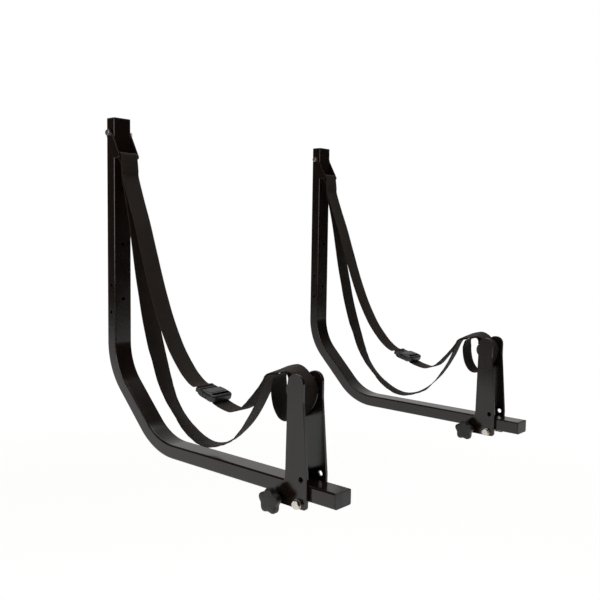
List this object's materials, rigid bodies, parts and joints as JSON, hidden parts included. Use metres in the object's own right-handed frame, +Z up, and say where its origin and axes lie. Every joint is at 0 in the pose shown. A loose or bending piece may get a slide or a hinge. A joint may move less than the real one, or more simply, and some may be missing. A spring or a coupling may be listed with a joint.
{
  "type": "kayak wall rack",
  "caption": "Pair of bent-tube wall arms, each with a webbing sling and buckle hung between a swinging stirrup and a sliding clamped upright, for storing a kayak on its side.",
  "frame": {"origin": "on the wall plane, midway between the two arms, level with the arms' undersides", "axes": "+Z up, +Y into the wall, so the arms reach out along -Y, and +X from the left rack to the right one as seen facing the wall"},
  "size_m": [0.6961, 0.575, 0.6488],
  "materials": {
    "powder_coat": "gloss black powder coat on steel",
    "zinc": "zinc plated",
    "black_plastic": "fine matt texture",
    "nylon": "black nylon",
    "webbing": "woven webbing"
  },
  "bodies": {
    "wall_side": {"left_arm_tube": "powder_coat", "left_post_cap": "black_plastic", "left_arm_cap": "black_plastic", "left_hanger_bolt": "zinc", "left_hanger_nut": "zinc", "left_strap_front_middle": "webbing", "left_strap_sling": "webbing", "right_arm_tube": "powder_coat", "right_post_cap": "black_plastic", "right_arm_cap": "black_plastic", "right_hanger_bolt": "zinc", "right_hanger_nut": "zinc", "right_strap_front_middle": "webbing", "right_strap_sling": "webbing"},
    "left_hanger": {"left_strap_hanger": "powder_coat", "left_strap_front_top": "webbing", "left_strap_sling_top": "webbing"},
    "left_upright": {"left_upright_plate_near": "powder_coat", "left_upright_plate_far": "powder_coat", "left_roller_axle": "powder_coat", "left_saddle_pin": "powder_coat", "left_guide_bolt": "zinc", "left_guide_washer": "zinc", "left_guide_nut": "zinc", "left_clamp_nut": "zinc", "left_buckle_socket": "black_plastic", "left_strap_pin_end": "webbing"},
    "left_roller": {"left_roller": "black_plastic", "left_bushing_near": "nylon", "left_bushing_far": "nylon"},
    "left_clamp_washer": {"left_clamp_washer": "black_plastic"},
    "left_knob": {"left_clamp_knob": "black_plastic", "left_clamp_stud": "zinc"},
    "left_tongue": {"left_buckle_tongue": "black_plastic", "left_strap_tongue_end": "webbing"},
    "right_hanger": {"right_strap_hanger": "powder_coat", "right_strap_front_top": "webbing", "right_strap_sling_top": "webbing"},
    "right_upright": {"right_upright_plate_near": "powder_coat", "right_upright_plate_far": "powder_coat", "right_roller_axle": "powder_coat", "right_saddle_pin": "powder_coat", "right_guide_bolt": "zinc", "right_guide_washer": "zinc", "right_guide_nut": "zinc", "right_clamp_nut": "zinc", "right_buckle_socket": "black_plastic", "right_strap_pin_end": "webbing"},
    "right_roller": {"right_roller": "black_plastic", "right_bushing_near": "nylon", "right_bushing_far": "nylon"},
    "right_clamp_washer": {"right_clamp_washer": "black_plastic"},
    "right_knob": {"right_clamp_knob": "black_plastic", "right_clamp_stud": "zinc"},
    "right_tongue": {"right_buckle_tongue": "black_plastic", "right_strap_tongue_end": "webbing"}
  },
  "joints": [
    {"name": "left_hanger_swing", "type": "hinge", "parent": "wall_side", "child": "left_hanger", "pos_m": [-0.305, -0.0127, 0.5965], "axis": [-1, 0, 0], "range_deg": [-9, 45], "deforming": ["left_strap_front_top", "left_strap_sling_top"]},
    {"name": "left_upright_slide", "type": "slide", "parent": "wall_side", "child": "left_upright", "axis": [0, -1, 0], "range_m": [-0.14, 0.05], "deforming": ["left_strap_front_middle", "left_strap_sling"]},
    {"name": "left_roller_spin", "type": "hinge", "parent": "left_upright", "child": "left_roller", "pos_m": [-0.305, -0.489, 0.169], "axis": [1, 0, 0], "continuous": true},
    {"name": "left_clamp_travel", "type": "slide", "parent": "left_upright", "child": "left_clamp_washer", "axis": [-1, 0, 0], "range_m": [0, 0.00375]},
    {"name": "left_clamp_turn", "type": "hinge", "parent": "left_clamp_washer", "child": "left_knob", "pos_m": [-0.305, -0.464, -0.005], "axis": [-1, 0, 0], "range_deg": [0, 1080]},
    {"name": "left_buckle_release", "type": "slide", "parent": "left_upright", "child": "left_tongue", "axis": [0, 0.9703, 0.2419], "range_m": [0, 0.024], "deforming": ["left_strap_tongue_end", "left_buckle_tongue"]},
    {"name": "right_hanger_swing", "type": "hinge", "parent": "wall_side", "child": "right_hanger", "pos_m": [0.305, -0.0127, 0.5965], "axis": [-1, 0, 0], "range_deg": [-9, 45], "deforming": ["right_strap_front_top", "right_strap_sling_top"]},
    {"name": "right_upright_slide", "type": "slide", "parent": "wall_side", "child": "right_upright", "axis": [0, -1, 0], "range_m": [-0.14, 0.05], "deforming": ["right_strap_front_middle", "right_strap_sling"]},
    {"name": "right_roller_spin", "type": "hinge", "parent": "right_upright", "child": "right_roller", "pos_m": [0.305, -0.489, 0.169], "axis": [1, 0, 0], "continuous": true},
    {"name": "right_clamp_travel", "type": "slide", "parent": "right_upright", "child": "right_clamp_washer", "axis": [-1, 0, 0], "range_m": [0, 0.00375]},
    {"name": "right_clamp_turn", "type": "hinge", "parent": "right_clamp_washer", "child": "right_knob", "pos_m": [0.305, -0.464, -0.005], "axis": [-1, 0, 0], "range_deg": [0, 1080]},
    {"name": "right_buckle_release", "type": "slide", "parent": "right_upright", "child": "right_tongue", "axis": [0, 0.9703, 0.2419], "range_m": [0, 0.024], "deforming": ["right_strap_tongue_end", "right_buckle_tongue"]}
  ],
  "couplings": [
    {"joint": "left_clamp_turn", "follows": "left_clamp_travel", "rad_per_m": 5026.5},
    {"joint": "right_clamp_turn", "follows": "right_clamp_travel", "rad_per_m": 5026.5}
  ]
}
